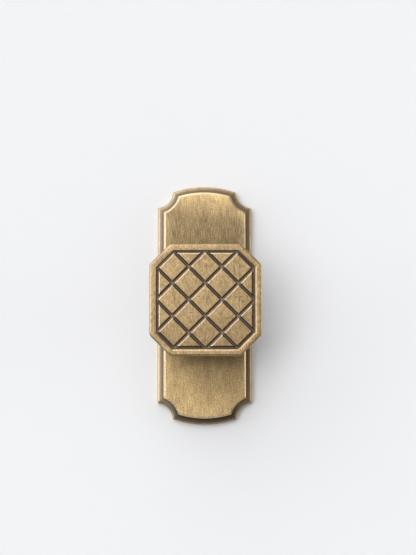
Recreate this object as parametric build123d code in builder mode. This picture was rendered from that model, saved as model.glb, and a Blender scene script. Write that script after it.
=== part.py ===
from build123d import *
import os
from math import cos, radians, sin, sqrt, tan

# Cabinet knob on a notched backplate, both in brass. All sizes are in millimetres.
# The origin is the middle of the backplate's back face, which lies against the door.
# +Z runs out of the door along the knob's axis and +Y along the length of the plate.

# Backplate outline
plate_length = 76.0             # over the crowns of both arched ends
plate_width = 30.0
end_arch_radius = 30.0
notch_radius = 5.4              # round bite taken out of each corner
notch_outset = 0.5              # notch centre, out past the plate's side
notch_drop = 1.4                # notch centre, in from the crown of the arch
plate_corner_radius = 0.5       # the sharp corners left beside each notch

# Backplate section, from the edge inwards
side_height = 1.8               # upright part of the plate's side
ledge_height = 3.0              # ledge round the foot of the panel
edge_roll_width = 1.4           # rounding between the plate's side and the ledge
edge_roll_facets = 4            # flats that make up the rounding
panel_inset = 1.9               # from the plate's edge to the foot of the panel
panel_height = 4.2
panel_slope = 6.0               # lean of the panel's wall from upright, in degrees
panel_bevel_width = 0.5
panel_bevel_drop = 0.35

# Knob head
projection = 26.0               # from the door to the front of the head
head_width = 34.0               # across the flats
head_corner_cut = 6.35          # leg of the 45 degree cut at each corner
head_corner_radius = 2.0
head_thickness = 7.0
head_front_radius = 0.6
head_back_bevel = 1.4

# Carved face of the head
face_rim_width = 1.55
face_rim_bevel_width = 0.45     # shallow bevel inside the rim
face_rim_bevel_drop = 0.25
face_rim_slope = 10.0           # lean of the wall below that bevel from upright, in degrees
face_depth = 0.85               # from the rim down to the floor of the grooves
tiles_across = 3                # whole diamonds, point to point, inside the rim's bevels
tile_slope = 12.0               # lean of the tiles' walls from upright, in degrees
tile_edge_bevel = 0.25
groove_floor_width = 0.55       # between the feet of two tiles
border_floor_width = 0.62       # between the feet of the rim and of the tiles next to it

# Stem, foot and fixing
foot_diameter = 15.0
foot_height = 1.8
foot_edge_bevel = 0.5
foot_step = 1.2                 # ledge between the foot's side and the stem
neck_diameter = 9.5             # at the stem's waist
neck_height = 11.0              # of the waist, from the door
flare_diameter = 18.0           # where the stem meets the head
spigot_diameter = 8.0           # part of the knob that fills the plate's hole
spigot_clearance = 0.1          # all round, between the spigot and the hole
tapped_hole_diameter = 3.3      # drilled size for an M4 thread
tapped_hole_depth = 14.0

# Heights and widths that follow from the sizes above
edge_roll_height = ledge_height - side_height
panel_shoulder = panel_height - panel_bevel_drop
panel_lean = (panel_shoulder - ledge_height) * tan(radians(panel_slope))
head_back = projection - head_thickness
face_floor = projection - face_depth
face_bevel_foot = projection - face_rim_bevel_drop
face_wall_top_inset = face_rim_width + face_rim_bevel_width
face_rim_lean = (face_bevel_foot - face_floor) * tan(radians(face_rim_slope))
face_floor_inset = face_wall_top_inset + face_rim_lean
tile_shoulder = projection - tile_edge_bevel
tile_lean = (tile_shoulder - face_floor) * tan(radians(tile_slope))
tile_field_inset = face_floor_inset + border_floor_width
tile_diagonal = (head_width - 2 * face_wall_top_inset) / tiles_across
tile_pitch = tile_diagonal / sqrt(2)


def plate_outline(inset):
    """Notched outline of the backplate, drawn in from its edge by the inset."""
    side = plate_width / 2 - inset
    crown = plate_length / 2 - inset
    arch_radius = end_arch_radius - inset
    spring = crown - arch_radius + sqrt(arch_radius**2 - side**2)
    notch_x = plate_width / 2 + notch_outset
    notch_y = plate_length / 2 - notch_drop
    with BuildSketch(mode=Mode.PRIVATE) as outline:
        with BuildLine():
            right_side = Line((side, -spring), (side, spring))
            ThreePointArc(right_side @ 1, (0, crown), (-side, spring))
            Line((-side, spring), (-side, -spring))
            ThreePointArc((-side, -spring), (0, -crown), right_side @ 0)
        make_face()
        with GridLocations(2 * notch_x, 2 * notch_y, 2, 2):
            Circle(notch_radius + inset, mode=Mode.SUBTRACT)
        fillet(outline.vertices(), plate_corner_radius)
    return outline.sketch


def head_outline(inset):
    """Square with cut corners, drawn in from the edge of the knob's head by the inset."""
    width = head_width - 2 * inset
    corner_cut = head_corner_cut - inset * (2 - sqrt(2))
    with BuildSketch(mode=Mode.PRIVATE) as outline:
        Rectangle(width, width)
        chamfer(outline.vertices(), corner_cut)
    return outline.sketch


# Backplate: a plate with a rolled edge, a raised panel and a hole for the knob's spigot
with BuildPart() as backplate:
    with BuildSketch(Plane.XY):
        add(plate_outline(0))
    extrude(amount=side_height)

    # The edge rolls over in narrow flats from the upright side to the ledge
    for facet in range(edge_roll_facets + 1):
        angle = radians(90 * facet / edge_roll_facets)
        with BuildSketch(Plane.XY.offset(side_height + edge_roll_height * sin(angle))):
            add(plate_outline(edge_roll_width * (1 - cos(angle))))
    loft(ruled=True)

    # The panel stands up from the ledge
    panel_steps = [
        (ledge_height, panel_inset),
        (panel_shoulder, panel_inset + panel_lean),
        (panel_height, panel_inset + panel_lean + panel_bevel_width),
    ]
    for level, inset in panel_steps:
        with BuildSketch(Plane.XY.offset(level)):
            add(plate_outline(inset))
    loft(ruled=True)

    with BuildSketch(Plane.XY):
        Circle(spigot_diameter / 2 + spigot_clearance)
    extrude(amount=panel_height, mode=Mode.SUBTRACT)

# Tiled field of the head's face: a low block, parted into diamonds by crossing grooves
with BuildPart() as tile_field:
    field_steps = [
        (face_floor, tile_field_inset),
        (tile_shoulder, tile_field_inset + tile_lean),
        (projection, tile_field_inset + tile_lean + tile_edge_bevel),
    ]
    for level, inset in field_steps:
        with BuildSketch(Plane.XY.offset(level)):
            add(head_outline(inset))
    loft(ruled=True)

    # Each groove has leaning walls and a bevelled lip, which runs on up past the tiles
    shoulder_half_width = groove_floor_width / 2 + tile_lean
    lip_half_width = shoulder_half_width + 2 * tile_edge_bevel
    lip_top = tile_shoulder + 2 * tile_edge_bevel
    for turn in (45, -45):
        with BuildSketch(Plane.XZ.rotated((0, 0, turn))):
            with GridLocations(tile_pitch, 0, tiles_across + 1, 1):
                Polygon(
                    (-groove_floor_width / 2, face_floor),
                    (groove_floor_width / 2, face_floor),
                    (shoulder_half_width, tile_shoulder),
                    (lip_half_width, lip_top),
                    (-lip_half_width, lip_top),
                    (-shoulder_half_width, tile_shoulder),
                    align=None,
                )
        extrude(amount=head_width, both=True, mode=Mode.SUBTRACT)

# Knob: head, carved face, stem, foot and spigot in one piece
with BuildPart() as knob:
    with BuildSketch(Plane.XY.offset(head_back)) as head_sketch:
        add(head_outline(0))
        fillet(head_sketch.vertices(), head_corner_radius)
    extrude(amount=head_thickness)
    fillet(knob.faces().sort_by(Axis.Z)[-1].edges(), head_front_radius)
    chamfer(knob.faces().sort_by(Axis.Z)[0].edges(), head_back_bevel)

    # The face is sunk inside its rim, and the tiles stand on its floor
    face_steps = [
        (projection, face_rim_width),
        (face_bevel_foot, face_wall_top_inset),
        (face_floor, face_floor_inset),
    ]
    for level, inset in face_steps:
        with BuildSketch(Plane.XY.offset(level)):
            add(head_outline(inset))
    loft(ruled=True, mode=Mode.SUBTRACT)
    add(tile_field.part)

    # The stem is turned: spigot, foot and a waist that flares out to the head
    foot_radius = foot_diameter / 2
    foot_top = panel_height + foot_height
    with BuildSketch(Plane.XZ) as stem_profile:
        with BuildLine():
            Polyline(
                (0, head_back),
                (0, 0),
                (spigot_diameter / 2, 0),
                (spigot_diameter / 2, panel_height),
                (foot_radius, panel_height),
                (foot_radius, foot_top),
                (foot_radius - foot_step, foot_top),
            )
            Spline(
                (foot_radius - foot_step, foot_top),
                (neck_diameter / 2, neck_height),
                (flare_diameter / 2, head_back),
            )
            Line((flare_diameter / 2, head_back), (0, head_back))
        make_face()
        foot_level = stem_profile.vertices().group_by(Axis.Y)[2]
        chamfer(foot_level.sort_by(Axis.X)[-1], foot_edge_bevel)
    revolve(axis=Axis.Z)

    with BuildSketch(Plane.XY):
        Circle(tapped_hole_diameter / 2)
    extrude(amount=tapped_hole_depth, mode=Mode.SUBTRACT)

backplate.part.label = "backplate"
knob.part.label = "knob"

os.makedirs("parts", exist_ok=True)
export_step(backplate.part, "parts/backplate.step")
export_step(knob.part, "parts/knob.step")
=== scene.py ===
from math import cos, pi, radians, sin, sqrt

import bpy
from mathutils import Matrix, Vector


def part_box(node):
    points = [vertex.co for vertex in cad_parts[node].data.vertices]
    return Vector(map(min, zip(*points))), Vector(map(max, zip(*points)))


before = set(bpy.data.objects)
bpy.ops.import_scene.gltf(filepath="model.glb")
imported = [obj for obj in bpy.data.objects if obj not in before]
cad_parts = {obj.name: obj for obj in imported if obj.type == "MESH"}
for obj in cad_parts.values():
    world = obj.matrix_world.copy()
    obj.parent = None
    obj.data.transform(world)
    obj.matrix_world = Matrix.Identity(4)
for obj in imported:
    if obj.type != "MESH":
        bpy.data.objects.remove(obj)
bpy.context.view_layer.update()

# The frame is in metres, with +Z out of the door and +Y up the plate. Places below are in millimetres.
MM = 0.001

# Linear colours of the aged brass, and of the painted highlights and painted shade on its edges
KNOB_BRASS = (0.478, 0.330, 0.164, 1.0)
UPPER_PLATE_BRASS = (0.474, 0.336, 0.168, 1.0)
LOWER_PLATE_BRASS = (0.474, 0.334, 0.160, 1.0)
STAINED_BRASS = (0.33, 0.234, 0.118, 1.0)
WORN_BRASS = (0.88, 0.745, 0.53, 1.0)
# pale colour of the painted highlights on the left of the plate's panel bevel and roll
PALE_HIGHLIGHT = (0.90, 0.80, 0.64, 1.0)
# painted highlight on the tiles' lit edges
TILE_EDGE_HIGHLIGHT = (0.97, 0.88, 0.71, 1.0)
# painted darker grey on the head's left-facing outer edge
PAINTED_EDGE_SHADE = (0.38, 0.35, 0.295, 1.0)
SPECK = (0.12, 0.085, 0.05, 1.0)

# Linear colours of the dark patina; the wall colour adds painted shade, and the lit and shaded ledge
# colours are painted light and shade
WALL_PATINA_AND_SHADE = (0.062, 0.041, 0.024, 1.0)
# lit and shaded copies of the ledge's patina: painted light and shade
LIT_LEDGE_PATINA = (0.305, 0.235, 0.175, 1.0)
SHADED_LEDGE_PATINA = (0.178, 0.124, 0.076, 1.0)
GROOVE_PATINA = (0.150, 0.103, 0.073, 1.0)

# Surface of the brass
COAT_WEIGHT = 0.15
COAT_ROUGHNESS = 0.3
BRUSHED_ROUGHNESS = (0.30, 0.40)
WORN_POLISH = 0.14              # how much smoother a worn edge is
PATINA_MATTNESS = 0.3           # how much rougher the patina is
PATINA_METALLIC = 0.75
GRAIN_STRENGTH = 0.15
GRAIN_DEPTH = 0.02
HOLLOW_REACH = 1.5              # how near a wall has to be to make a hollow
BEVEL_SAMPLES = 8
HOLLOW_SAMPLES = 12

# Sizes of the marks on the brass along each axis
PLATE_GRAIN = (0.33, 3.5, 0.35)
PLATE_STAINS = (3.0, 9.0, 3.0)
KNOB_GRAIN = (0.4, 1.2, 0.5)
KNOB_STAINS = (2.2, 3.6, 3.0)
TOOTH = (0.3, 0.36, 0.3)
SPECKS = (0.3, 0.6, 0.4)
HAIRLINES = ((3.0, 0.2, 0.2), (0.2, 2.0, 0.2))

# Scratches on the tiles: place of the middle across and up, length, and turn in degrees
TILE_SCRATCHES = (
    (9.9, 0.7, 3.2, 2),
    (10.2, 0.2, 2.6, 88),
    (11.3, -0.7, 1.4, 3),
    (8.7, 9.0, 3.4, 90),
    (10.4, 9.8, 2.2, 92),
    (6.6, -5.6, 2.0, 20),
    (4.4, -4.3, 1.4, 155),
    (-4.2, -4.0, 2.2, 8),
    (0.4, -0.3, 1.6, 86),
    (-9.3, 0.4, 2.4, 93),
    (0.3, 9.8, 3.0, 89),
)
SCRATCH_WIDTH = 0.5
SCRATCH_STRENGTH = 0.75

# Directions on the face of the plate
LOWER_RIGHT = (0.6, -0.8, 0.0)
UPPER_LEFT = (-0.707, 0.707, 0.0)
UP = (0.0, 1.0, 0.0)
DOWN = (0.0, -1.0, 0.0)
LEFT = (-1.0, 0.0, 0.0)
RIGHT = (1.0, 0.0, 0.0)
OUTWARDS = (0.0, 0.0, 1.0)

# Plate: its half length, and heights at which one part of its section gives way to the next
PLATE_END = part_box("backplate")[1].y / MM
LEDGE_TO_ROLL = (2.9, 2.7)
PANEL_TO_LEDGE = (3.8, 3.3)
WALL_TO_PANEL = (3.4, 3.9)
SHOULDER_TO_BEVEL = (3.7, 3.9)
# the patina's foot lies lower on the shaded side as painted shade
FILM_START = (2.66, 2.45)       # foot of the patina on the roll, on its lit and shaded sides
FILM_FULL = 3.02

# Radii to which the edges are rounded off and rubbed bright
ROLL_SOFTNESS = 0.7
PANEL_SOFTNESS = 0.25
SOFTNESS_CHANGE = (3.2, 3.7)    # heights between the two
PLATE_WEAR_RADIUS = 0.7
KNOB_SOFTNESS = 0.2
KNOB_WEAR_RADIUS = 0.4
SHADED_BEVEL_LIFT = 8.0         # turns a shaded bevel's shine towards the front
TILE_BEVEL_LIFT = (1.0, 0.65)   # on the tiles' unlit and lit sides

# Head of the knob: its outline, and insets from it at which one part gives way to the next
head_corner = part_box("knob")[1]
HEAD_FRONT = head_corner.z / MM
HEAD_HALF_WIDTH = head_corner.x / MM
HEAD_CORNER_CUT = 6.35
GROOVE_PITCH = 10.0 * sqrt(0.5)
RIM_TO_OUTER_EDGE = (0.9, 0.6)
RIM_TO_BEVEL = (1.2, 1.5)
BEVEL_TO_WALL = (1.7, 1.95)
WALL_TO_TILES = (2.2, 2.5)
TILE_TO_GROOVE = (0.8, 0.5)     # from the middle of a groove

# Depths below the front of the head
GROOVE_FILM = (0.30, 0.52)      # in which the patina in the grooves thickens
# the rise on the unlit sides and the film over the head's side and stem are painted shade
UNLIT_FILM_RISE = 0.25          # how much higher it reaches on the tiles' unlit sides
SIDE_FILM = (0.6, 1.0)          # in which the patina of the head's side and the stem begins
TILE_BEVEL_TOP = (0.35, 0.2)

# Floor, camera and light
FLOOR_SIZE = 60.0               # in metres
FLOOR_DEPTH = 0.02              # how far the floor lies under the plate's back
PAPER = (0.895, 0.90, 0.915, 1.0)
CAMERA_PLACE = (-5.1636, -30.9746, 436.8369)
CAMERA_TURN = (0.0913, -0.0143, -0.0013)
CAMERA_SENSOR = 36.0
CAMERA_LENS = 88.56
SURROUND_LEVELS = (0.34, 0.46)  # away from the lit side and towards it
HORIZON_GLOW = 0.5
HORIZON_HEIGHTS = (0.26, 0.1)


def link_or_set(tree, socket, value):
    """Links an input to another node's output, or sets it to a fixed value."""
    if isinstance(value, bpy.types.NodeSocket):
        tree.links.new(value, socket)
    else:
        socket.default_value = value


def add_node(tree, kind, inputs=None, **settings):
    """Adds a node, sets its options, and sets or links each of its named inputs."""
    node = tree.nodes.new(kind)
    for name, value in settings.items():
        setattr(node, name, value)
    for name, value in (inputs or {}).items():
        link_or_set(tree, node.inputs[name], value)
    return node


def mix_colour(tree, factor, first, second):
    """Goes from the first colour to the second as the factor goes from 0 to 1."""
    node = add_node(tree, "ShaderNodeMix", data_type="RGBA")
    for socket, value in ((node.inputs[0], factor), (node.inputs[6], first), (node.inputs[7], second)):
        link_or_set(tree, socket, value)
    return node.outputs[2]


def mix_value(tree, factor, first, second):
    """Goes from the first value to the second as the factor goes from 0 to 1."""
    return add_node(tree, "ShaderNodeMix", {0: factor, 2: first, 3: second}).outputs[0]


def ramp(tree, value, span, levels=(0.0, 1.0)):
    """Maps a value smoothly from a span, which may run downwards, onto two levels."""
    inputs = {
        "Value": value,
        "From Min": span[0],
        "From Max": span[1],
        "To Min": levels[0],
        "To Max": levels[1],
    }
    return add_node(tree, "ShaderNodeMapRange", inputs, interpolation_type="SMOOTHSTEP").outputs["Result"]


def math(tree, operation, *values):
    """A sum on one to three values, of which each is a number or a node's output."""
    node = add_node(tree, "ShaderNodeMath", operation=operation)
    for socket, value in zip(node.inputs, values):
        link_or_set(tree, socket, value)
    return node.outputs["Value"]


def multiply(tree, product, *others):
    """The product of two or more values."""
    for other in others:
        product = math(tree, "MULTIPLY", product, other)
    return product


def largest(tree, most, *others):
    """The largest of two or more values."""
    for other in others:
        most = math(tree, "MAXIMUM", most, other)
    return most


def vector_math(tree, operation, first, second=(0.0, 0.0, 0.0)):
    """A sum on one or two vectors or colours."""
    node = add_node(tree, "ShaderNodeVectorMath", {0: first, 1: second}, operation=operation)
    return node.outputs["Value" if operation == "DOT_PRODUCT" else "Vector"]


def scaled_colour(tree, colour, factor):
    """Makes a colour lighter or darker by a factor."""
    return vector_math(tree, "MULTIPLY", colour, factor)


def noise(tree, place, size, detail, roughness):
    """Noise whose features are as wide as the size along each axis."""
    stretched = add_node(tree, "ShaderNodeMapping", {"Vector": place, "Scale": [1 / s for s in size]})
    inputs = {
        "Vector": stretched.outputs["Vector"],
        "Scale": 1.0,
        "Detail": detail,
        "Roughness": roughness,
    }
    return add_node(tree, "ShaderNodeTexNoise", inputs).outputs["Fac"]


def facing(tree, direction, span, levels=(0.0, 1.0)):
    """Maps how squarely the surface faces a direction, from -1 to 1, onto two levels."""
    normal = add_node(tree, "ShaderNodeNewGeometry").outputs["Normal"]
    return ramp(tree, vector_math(tree, "DOT_PRODUCT", normal, direction), span, levels)


def occlusion(tree):
    """How open the surface is, from 0 in a deep hollow to 1 on an open face."""
    inputs = {"Distance": HOLLOW_REACH * MM}
    return add_node(
        tree, "ShaderNodeAmbientOcclusion", inputs, samples=HOLLOW_SAMPLES, only_local=True
    ).outputs["AO"]


def rounded_normal(tree, radius):
    """The surface's direction with its edges rounded off to a radius in metres."""
    return add_node(tree, "ShaderNodeBevel", {"Radius": radius}, samples=BEVEL_SAMPLES).outputs["Normal"]


def soften(tree, radius, lift):
    """The surface's direction with its edges rounded off, and turned towards +Z by the lift."""
    upwards = add_node(tree, "ShaderNodeCombineXYZ", {"Z": lift}).outputs["Vector"]
    return vector_math(tree, "NORMALIZE", vector_math(tree, "ADD", rounded_normal(tree, radius), upwards))


def edge_wear(tree, radius):
    """How much an edge is rubbed bright within a radius of it, from 0 to 1."""
    normal = add_node(tree, "ShaderNodeNewGeometry").outputs["Normal"]
    likeness = vector_math(tree, "DOT_PRODUCT", rounded_normal(tree, radius), normal)
    return ramp(tree, likeness, (0.998, 0.93))


def start_brass(name):
    """A new brass material, with its places in millimetres as a vector and as separate axes."""
    material = bpy.data.materials.new(name)
    material.use_nodes = True
    tree = material.node_tree
    shader = tree.nodes["Principled BSDF"]
    shader.inputs["Coat Weight"].default_value = COAT_WEIGHT
    shader.inputs["Coat Roughness"].default_value = COAT_ROUGHNESS
    metres = add_node(tree, "ShaderNodeTexCoord").outputs["Object"]
    to_millimetres = add_node(
        tree, "ShaderNodeVectorMath", {"Vector": metres, "Scale": 1 / MM}, operation="SCALE"
    )
    place = to_millimetres.outputs["Vector"]
    axes = add_node(tree, "ShaderNodeSeparateXYZ", {"Vector": place}).outputs
    return material, tree, place, axes


def mottled(tree, place, clean, stain_size, grain, grain_share, tooth_share):
    """Brass with soft stains, brushed grain, fine tooth, hairline scratches and small dark specks."""
    stains = ramp(tree, noise(tree, place, stain_size, 4.0, 0.65), (0.42, 0.68), (0.0, 0.7))
    colour = mix_colour(tree, stains, clean, STAINED_BRASS)
    brushed = ramp(tree, grain, (0.3, 0.7), (1 - grain_share, 1 + grain_share))
    tooth = ramp(tree, noise(tree, place, TOOTH, 1.0, 0.5), (0.3, 0.7), (1 - tooth_share, 1 + tooth_share))
    colour = scaled_colour(tree, colour, multiply(tree, brushed, tooth))
    marks = ramp(tree, noise(tree, place, SPECKS, 2.0, 0.5), (0.62, 0.70), (0.0, 0.55))
    for hairline_size in HAIRLINES:
        hairlines = ramp(tree, noise(tree, place, hairline_size, 0.0, 0.5), (0.72, 0.80), (0.0, 0.45))
        marks = largest(tree, marks, hairlines)
    return mix_colour(tree, marks, colour, SPECK)


def scratched(tree, place, scratches):
    """How deep a place lies in one of the short straight scratches, from 0 to 1."""
    depth = 0.0
    for across, up, length, turn in scratches:
        inputs = {"Vector": place, "Location": (across, up, 0.0), "Rotation": (0.0, 0.0, radians(turn))}
        mapping = add_node(tree, "ShaderNodeMapping", inputs, vector_type="TEXTURE").outputs["Vector"]
        inside = add_node(tree, "ShaderNodeSeparateXYZ", {"Vector": mapping}).outputs
        in_length = ramp(tree, math(tree, "ABSOLUTE", inside["X"]), (length / 2, length / 4))
        in_width = ramp(tree, math(tree, "ABSOLUTE", inside["Y"]), (SCRATCH_WIDTH / 2, 0.0))
        depth = largest(tree, depth, multiply(tree, in_length, in_width))
    return depth


def patina_film(tree, level_film):
    """The colour of the dark patina: a given one on level ground, and a darker one on walls as painted
    shade.
    """
    return mix_colour(tree, facing(tree, OUTWARDS, (0.7, 0.97)), WALL_PATINA_AND_SHADE, level_film)


def finish_brass(tree, colour, wear_and_highlight, patina_and_shade, film_and_light, grain, normal):
    """Lays the matt patina, with its painted light and shade, over the brass and its polished edges, worn
    and painted bright, and links it all to the shader.
    """
    shader = tree.nodes["Principled BSDF"]
    roughness = ramp(tree, grain, (0.25, 0.75), BRUSHED_ROUGHNESS)
    roughness = math(tree, "MULTIPLY_ADD", wear_and_highlight, -WORN_POLISH, roughness)
    roughness = math(tree, "MULTIPLY_ADD", patina_and_shade, PATINA_MATTNESS, roughness)
    inputs = {
        "Strength": GRAIN_STRENGTH,
        "Distance": GRAIN_DEPTH * MM,
        "Height": grain,
        "Normal": normal,
    }
    brushed = add_node(tree, "ShaderNodeBump", inputs).outputs["Normal"]
    tree.links.new(mix_colour(tree, patina_and_shade, colour, film_and_light), shader.inputs["Base Color"])
    tree.links.new(ramp(tree, patina_and_shade, (0.0, 1.0), (1.0, PATINA_METALLIC)), shader.inputs["Metallic"])
    tree.links.new(roughness, shader.inputs["Roughness"])
    tree.links.new(brushed, shader.inputs["Normal"])


def painted_panel_light(tree, axes, grain):
    """How much lighter or darker than plain brass the panel is painted in each place: a painted highlight
    at the top end, painted shade from below the head's top and on the right, painted light over the lower
    half, the low end and the lower left, lighter beside the long edges, and darker streaks of grain in the
    upper half.
    """
    x, y = axes["X"], axes["Y"]
    leaning_up = math(tree, "MULTIPLY_ADD", x, 0.2, y)
    top_end = ramp(tree, leaning_up, (25.5, PLATE_END + 4.3), (0.64, 2.1))
    below_top = ramp(tree, y, (24.0, 19.0), (1.0, 0.86))
    low_half = ramp(tree, y, (10.0, -18.0), (1.0, 1.67))
    low_end = ramp(tree, y, (-24.0, -PLATE_END), (1.0, 1.7))
    right_half = ramp(tree, x, (2.0, 9.0), (1.0, 0.91))
    on_low_left = multiply(tree, ramp(tree, x, (1.0, -9.0)), ramp(tree, y, (0.0, -15.0)))
    low_left = mix_value(tree, on_low_left, 1.0, ramp(tree, y, (-27.0, -36.0), (1.4, 0.95)))
    beside_edge = ramp(tree, math(tree, "ABSOLUTE", x), (9.5, 12.5))
    edges = mix_value(tree, beside_edge, 1.0, ramp(tree, y, (-10.0, 10.0), (1.14, 1.4)))
    upper_half = multiply(tree, ramp(tree, y, (31.0, 26.0)), ramp(tree, y, (0.0, 10.0)))
    dark_streaks = mix_value(tree, upper_half, 1.0, ramp(tree, grain, (0.35, 0.6), (0.78, 1.08)))
    return multiply(
        tree, top_end, below_top, dark_streaks, low_half, low_end, low_left, right_half, edges
    )


def worn_plate_and_highlights(tree, colour, wear_and_highlight, y, on_panel, on_roll):
    """The plate's brass with its edges worn bright, and painted highlights on the left: paler and darker on
    the panel's bevel, paler on the roll.
    """
    upwards = (-15.0, 15.0)
    colour = mix_colour(tree, wear_and_highlight, colour, WORN_BRASS)
    # painted highlight on the panel's left-facing bevel, toned paler and darker
    left_bevel = multiply(tree, on_panel, facing(tree, LEFT, (0.2, 0.5)))
    paler_highlight = multiply(tree, left_bevel, ramp(tree, y, upwards, (0.15, 0.4)))
    colour = mix_colour(tree, paler_highlight, colour, PALE_HIGHLIGHT)
    bevel_shade = mix_value(tree, left_bevel, 1.0, ramp(tree, y, upwards, (0.66, 0.74)))
    colour = scaled_colour(tree, colour, bevel_shade)
    # painted highlight on the roll's left-facing side
    left_roll_highlight = multiply(tree, on_roll, facing(tree, LEFT, (0.15, 0.5), (0.0, 0.24)))
    return mix_colour(tree, left_roll_highlight, colour, PALE_HIGHLIGHT)


def ledge_patina_and_shade(tree, axes, openness, on_roll):
    """How thickly the patina lies on the plate: in hollows and on the ledge, with painted shade making it
    thicker at the bottom, on the right and low on the roll.
    """
    x, y, z = axes["X"], axes["Y"], axes["Z"]
    hollow = ramp(tree, openness, (0.9, 0.45))
    # painted shade: the ledge's patina starts lower and lies thicker at the bottom and on the right
    shaded = largest(tree, ramp(tree, y, (-28.0, -36.0)), ramp(tree, x, (8.0, 13.0), (0.0, 0.6)))
    film_start = ramp(tree, shaded, (0.0, 1.0), FILM_START)
    thickness = ramp(tree, shaded, (0.0, 1.0), (0.84, 1.0))
    on_ledge = multiply(
        tree, ramp(tree, z, (film_start, FILM_FULL)), ramp(tree, z, PANEL_TO_LEDGE), thickness
    )
    # painted shade on the roll's downward-facing side
    low_roll_shade = multiply(tree, on_roll, facing(tree, DOWN, (0.1, 0.5), (0.0, 0.35)))
    return largest(tree, hollow, on_ledge, low_roll_shade)


def ledge_film_and_light(tree, axes, openness):
    """The colour of the plate's patina with painted light: lit on the left and shaded on the right, painted
    shade at the low end and the panel's foot, and darker towards the top end.
    """
    x, y = axes["X"], axes["Y"]
    to_right = (-12.0, 12.0)
    level_film = mix_colour(tree, ramp(tree, x, to_right), LIT_LEDGE_PATINA, SHADED_LEDGE_PATINA)
    # painted shade at the low end, and darker towards the top end
    low_end = ramp(tree, y, (-28.0, -36.5), (1.0, 0.34))
    top_end = ramp(tree, y, (30.0, 36.0), (1.0, 0.8))
    # painted shade in the crease at the panel's foot
    panel_foot = ramp(tree, openness, (0.93, 0.68))
    foot_shade = mix_value(tree, panel_foot, 1.0, ramp(tree, x, to_right, (0.42, 0.75)))
    return scaled_colour(
        tree, patina_film(tree, level_film), multiply(tree, low_end, top_end, foot_shade)
    )


def plate_finish():
    """Brass brushed lengthwise, with painted light and shade across the panel, brightest at its ends, and
    dark patina round it with painted light and shade in it.
    """
    material, tree, place, axes = start_brass("plate_brass")
    y, z = axes["Y"], axes["Z"]
    on_panel = ramp(tree, z, WALL_TO_PANEL)
    on_roll = ramp(tree, z, LEDGE_TO_ROLL)
    grain = noise(tree, place, PLATE_GRAIN, 4.0, 0.7)
    brass = mix_colour(tree, ramp(tree, y, (18.0, -18.0)), UPPER_PLATE_BRASS, LOWER_PLATE_BRASS)
    colour = mottled(tree, place, brass, PLATE_STAINS, grain, 0.22, 0.24)
    # painted light and shade across the panel
    painted_light_factor = mix_value(tree, on_panel, 1.0, painted_panel_light(tree, axes, grain))
    colour = scaled_colour(tree, colour, painted_light_factor)

    # edge wear, painted lighter on edges that face the lower right
    wear_and_light_by_side = facing(tree, LOWER_RIGHT, (-0.1, 0.25), (0.85, 0.95))
    wear_and_highlight = multiply(tree, edge_wear(tree, PLATE_WEAR_RADIUS * MM), wear_and_light_by_side)
    colour = worn_plate_and_highlights(tree, colour, wear_and_highlight, y, on_panel, on_roll)

    openness = occlusion(tree)
    patina_and_shade = ledge_patina_and_shade(tree, axes, openness, on_roll)
    film_and_light = ledge_film_and_light(tree, axes, openness)

    radius = ramp(tree, z, SOFTNESS_CHANGE, (ROLL_SOFTNESS * MM, PANEL_SOFTNESS * MM))
    lower_bevel = facing(tree, DOWN, (0.2, 0.4), (0.0, SHADED_BEVEL_LIFT))
    lift = multiply(tree, ramp(tree, z, SHOULDER_TO_BEVEL), lower_bevel)
    finish_brass(tree, colour, wear_and_highlight, patina_and_shade, film_and_light, grain, soften(tree, radius, lift))
    return material


def head_inset(tree, axes):
    """How far a place lies inside the outline of the knob's head."""
    across = math(tree, "ABSOLUTE", axes["X"])
    along = math(tree, "ABSOLUTE", axes["Y"])
    from_side = math(tree, "SUBTRACT", HEAD_HALF_WIDTH, largest(tree, across, along))
    corner_reach = 2 * HEAD_HALF_WIDTH - HEAD_CORNER_CUT
    from_corner = math(tree, "SUBTRACT", corner_reach, math(tree, "ADD", across, along))
    return math(tree, "MINIMUM", from_side, multiply(tree, from_corner, sqrt(0.5)))


def across_groove(tree, place, rise):
    """How far a place lies to the right of the nearest groove that rises (1) or falls (-1) to the right."""
    to_right = (sqrt(0.5) / GROOVE_PITCH, -rise * sqrt(0.5) / GROOVE_PITCH, 0.0)
    pitches = vector_math(tree, "DOT_PRODUCT", place, to_right)
    from_middle = math(tree, "SUBTRACT", math(tree, "FRACT", pitches), 0.5)
    return multiply(tree, from_middle, GROOVE_PITCH)


def worn_knob_with_painted_edges(tree, colour, wear_and_highlight, on_tiles, on_outer_edge):
    """The knob's brass with its edges worn bright and painted highlights on the tiles' lit edges, and the
    head's outer edge painted darker and greyer on its left, darker on top and lighter on its right.
    """
    colour = mix_colour(tree, wear_and_highlight, colour, mix_colour(tree, on_tiles, WORN_BRASS, TILE_EDGE_HIGHLIGHT))
    # painted shade: the left-facing outer edge made darker and greyer
    left_edge_shade = multiply(tree, on_outer_edge, facing(tree, LEFT, (0.15, 0.5), (0.0, 0.4)))
    colour = mix_colour(tree, left_edge_shade, colour, PAINTED_EDGE_SHADE)
    # painted shade on the top-facing outer edge, painted light on the right-facing one
    for direction, painted_light_factor in ((UP, 0.62), (RIGHT, 1.18)):
        edge = multiply(tree, on_outer_edge, facing(tree, direction, (0.2, 0.6)))
        colour = scaled_colour(tree, colour, mix_value(tree, edge, 1.0, painted_light_factor))
    return colour


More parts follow.
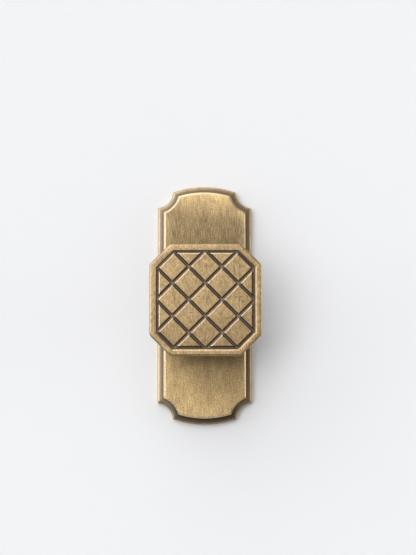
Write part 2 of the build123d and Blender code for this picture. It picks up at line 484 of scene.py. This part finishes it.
def groove_patina_and_shade(tree, depth, inset, on_tiles, on_outer_edge, lit_side):
    """How thickly the patina lies on the knob: in the grooves, and as painted shade higher on the tiles'
    unlit sides, over the head's side and the stem, and low on the outer edge.
    """
    openness = occlusion(tree)
    hollow = ramp(tree, openness, (0.78, 0.42))
    # painted shade: the patina reaches higher on the tiles' unlit sides
    unlit_side_shade_rise = multiply(tree, on_tiles, ramp(tree, lit_side, (0.0, 1.0), (UNLIT_FILM_RISE, 0.0)))
    film_depth = math(tree, "ADD", depth, unlit_side_shade_rise)
    in_groove = multiply(tree, ramp(tree, film_depth, GROOVE_FILM), ramp(tree, openness, (0.985, 0.87)))
    in_face = multiply(tree, largest(tree, hollow, in_groove), ramp(tree, inset, BEVEL_TO_WALL))
    # painted shade: a dark film over the head's side and the stem, and on the outer edge's downward face
    side_and_stem_shade = ramp(tree, depth, SIDE_FILM, (0.0, 0.75))
    low_edge_shade = multiply(tree, on_outer_edge, facing(tree, DOWN, (0.2, 0.6), (0.0, 0.4)))
    return largest(tree, in_face, side_and_stem_shade, low_edge_shade)


def groove_film_and_light(tree, place, on_tiles):
    """The colour of the grooves' patina with painted light: a painted lit side on the floor of the rising
    grooves, painted shade beside the walls of the falling ones, and paler where they cross.
    """
    across_rising = across_groove(tree, place, 1)
    in_rising = multiply(tree, on_tiles, ramp(tree, math(tree, "ABSOLUTE", across_rising), TILE_TO_GROOVE))
    # painted light on one side of the rising grooves' floor
    lit_floor = ramp(tree, across_rising, (-0.35, 0.45), (1.0, 2.4))
    across_falling = math(tree, "ABSOLUTE", across_groove(tree, place, -1))
    in_falling = multiply(tree, on_tiles, ramp(tree, across_falling, TILE_TO_GROOVE))
    # painted shade beside the falling grooves' walls
    wall_shaded_floor = ramp(tree, across_falling, (0.36, 0.12), (0.35, 1.12))
    rising_shade = mix_value(tree, in_falling, lit_floor, 2.0)
    falling_shade = mix_value(tree, in_falling, 1.0, wall_shaded_floor)
    floor_shade = mix_value(tree, in_rising, falling_shade, rising_shade)
    return scaled_colour(tree, patina_film(tree, GROOVE_PATINA), floor_shade)


def knob_finish():
    """Satin brass with mottled, scratched tiles, worn edges with painted highlights, and dark patina in the
    grooves with painted light and shade.
    """
    material, tree, place, axes = start_brass("knob_brass")
    y = axes["Y"]
    depth = math(tree, "SUBTRACT", HEAD_FRONT, axes["Z"])
    inset = head_inset(tree, axes)
    on_tiles = ramp(tree, inset, WALL_TO_TILES)
    on_outer_edge = ramp(tree, inset, RIM_TO_OUTER_EDGE)
    lit_side = facing(tree, UPPER_LEFT, (0.1, 0.4))
    grain = noise(tree, place, KNOB_GRAIN, 4.0, 0.65)
    colour = mottled(tree, place, KNOB_BRASS, KNOB_STAINS, grain, 0.32, 0.12)
    low_tiles = mix_value(tree, on_tiles, 1.0, ramp(tree, y, (-3.0, -9.0), (1.0, 0.87)))
    towards_ends = ramp(tree, math(tree, "ABSOLUTE", y), (12.0, 15.0), (1.0, 1.12))
    rim_ends = mix_value(tree, on_tiles, towards_ends, 1.0)
    colour = scaled_colour(tree, colour, multiply(tree, low_tiles, rim_ends))
    scratches = multiply(tree, scratched(tree, place, TILE_SCRATCHES), SCRATCH_STRENGTH)
    colour = mix_colour(tree, scratches, colour, SPECK)

    # edge wear, painted lighter on the rim's lower-right-facing edges and as a highlight on the tiles' lit
    # edges
    rim_wear_and_light = facing(tree, LOWER_RIGHT, (-0.1, 0.25), (0.6, 1.0))
    tile_wear_and_highlight = ramp(tree, lit_side, (0.0, 1.0), (0.2, 1.0))
    wear_and_light_by_side = mix_value(tree, on_tiles, rim_wear_and_light, tile_wear_and_highlight)
    wear_and_highlight = multiply(tree, edge_wear(tree, KNOB_WEAR_RADIUS * MM), wear_and_light_by_side)
    colour = worn_knob_with_painted_edges(tree, colour, wear_and_highlight, on_tiles, on_outer_edge)

    patina_and_shade = groove_patina_and_shade(tree, depth, inset, on_tiles, on_outer_edge, lit_side)
    film_and_light = groove_film_and_light(tree, place, on_tiles)

    shaded_bevel = facing(tree, LOWER_RIGHT, (0.1, 0.3), (0.0, SHADED_BEVEL_LIFT))
    rim_lift = multiply(tree, shaded_bevel, ramp(tree, inset, RIM_TO_BEVEL))
    tile_lift = ramp(tree, lit_side, (0.0, 1.0), TILE_BEVEL_LIFT)
    lift = multiply(
        tree, mix_value(tree, on_tiles, rim_lift, tile_lift), ramp(tree, depth, TILE_BEVEL_TOP)
    )
    finish_brass(tree, colour, wear_and_highlight, patina_and_shade, film_and_light, grain, soften(tree, KNOB_SOFTNESS * MM, lift))
    return material


def lay_floor():
    """White paper under the plate."""
    bpy.ops.mesh.primitive_plane_add(size=FLOOR_SIZE, location=(0, 0, -FLOOR_DEPTH * MM))
    floor = bpy.context.object
    floor.name = "floor"
    paper = bpy.data.materials.new("white_paper")
    paper.use_nodes = True
    shader = paper.node_tree.nodes["Principled BSDF"]
    shader.inputs["Base Color"].default_value = PAPER
    shader.inputs["Roughness"].default_value = 1.0
    shader.inputs["Specular IOR Level"].default_value = 0.0
    floor.data.materials.append(paper)


def set_surround():
    """A dim studio all round, lighter towards the lit side and palest low down on it."""
    world = bpy.data.worlds.new("studio")
    bpy.context.scene.world = world
    world.use_nodes = True
    tree = world.node_tree
    direction = add_node(tree, "ShaderNodeTexCoord").outputs["Generated"]
    height = add_node(tree, "ShaderNodeSeparateXYZ", {"Vector": direction}).outputs["Z"]
    towards_light = vector_math(tree, "DOT_PRODUCT", direction, UPPER_LEFT)
    overall = ramp(tree, towards_light, (-0.8, 0.8), SURROUND_LEVELS)
    on_lit_side = ramp(tree, towards_light, (0.0, 0.5), (0.0, HORIZON_GLOW))
    glow = multiply(tree, ramp(tree, height, HORIZON_HEIGHTS), on_lit_side)
    level = math(tree, "ADD", overall, glow)
    tree.links.new(level, tree.nodes["Background"].inputs["Color"])


def soft_light(name, zenith, azimuth, spread, brightness):
    """A distant soft light, placed by its angles from +Z and +X, and as wide as the spread, in degrees."""
    tilt = radians(zenith)
    turn = radians(azimuth)
    towards = Vector((sin(tilt) * cos(turn), sin(tilt) * sin(turn), cos(tilt)))
    bpy.ops.object.light_add(type="SUN", location=towards)
    lamp = bpy.context.object
    lamp.name = name
    lamp.data.angle = radians(spread)
    lamp.data.energy = brightness * 2 * pi * (1 - cos(radians(spread) / 2))
    lamp.rotation_mode = "QUATERNION"
    lamp.rotation_quaternion = towards.to_track_quat("Z", "Y")


def set_camera():
    """The camera, a little below the knob and to its left, looking at it almost straight on."""
    bpy.ops.object.camera_add(location=[MM * offset for offset in CAMERA_PLACE], rotation=CAMERA_TURN)
    camera = bpy.context.object
    camera.data.sensor_width = CAMERA_SENSOR
    camera.data.lens = CAMERA_LENS
    camera.data.clip_start = 0.01
    camera.data.clip_end = 100.0
    bpy.context.scene.camera = camera


for node_name, finish in (("backplate", plate_finish()), ("knob", knob_finish())):
    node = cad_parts[node_name]
    node.data.materials.clear()
    node.data.materials.append(finish)

lay_floor()
set_surround()
soft_light("key", 24, 128, 36, 2.4)
soft_light("key_left", 33, 180, 29, 2.7)
soft_light("key_top", 45, 90, 26, 1.6)
soft_light("low_upper_left", 73, 118, 40, 1.7)
soft_light("low_left", 73, 155, 40, 1.5)
soft_light("far_left", 80, 182, 26, 2.6)
soft_light("far_top", 72, 90, 28, 1.3)
soft_light("right", 78, 5, 26, 2.1)
set_camera()
bpy.context.scene.view_settings.view_transform = "Standard"
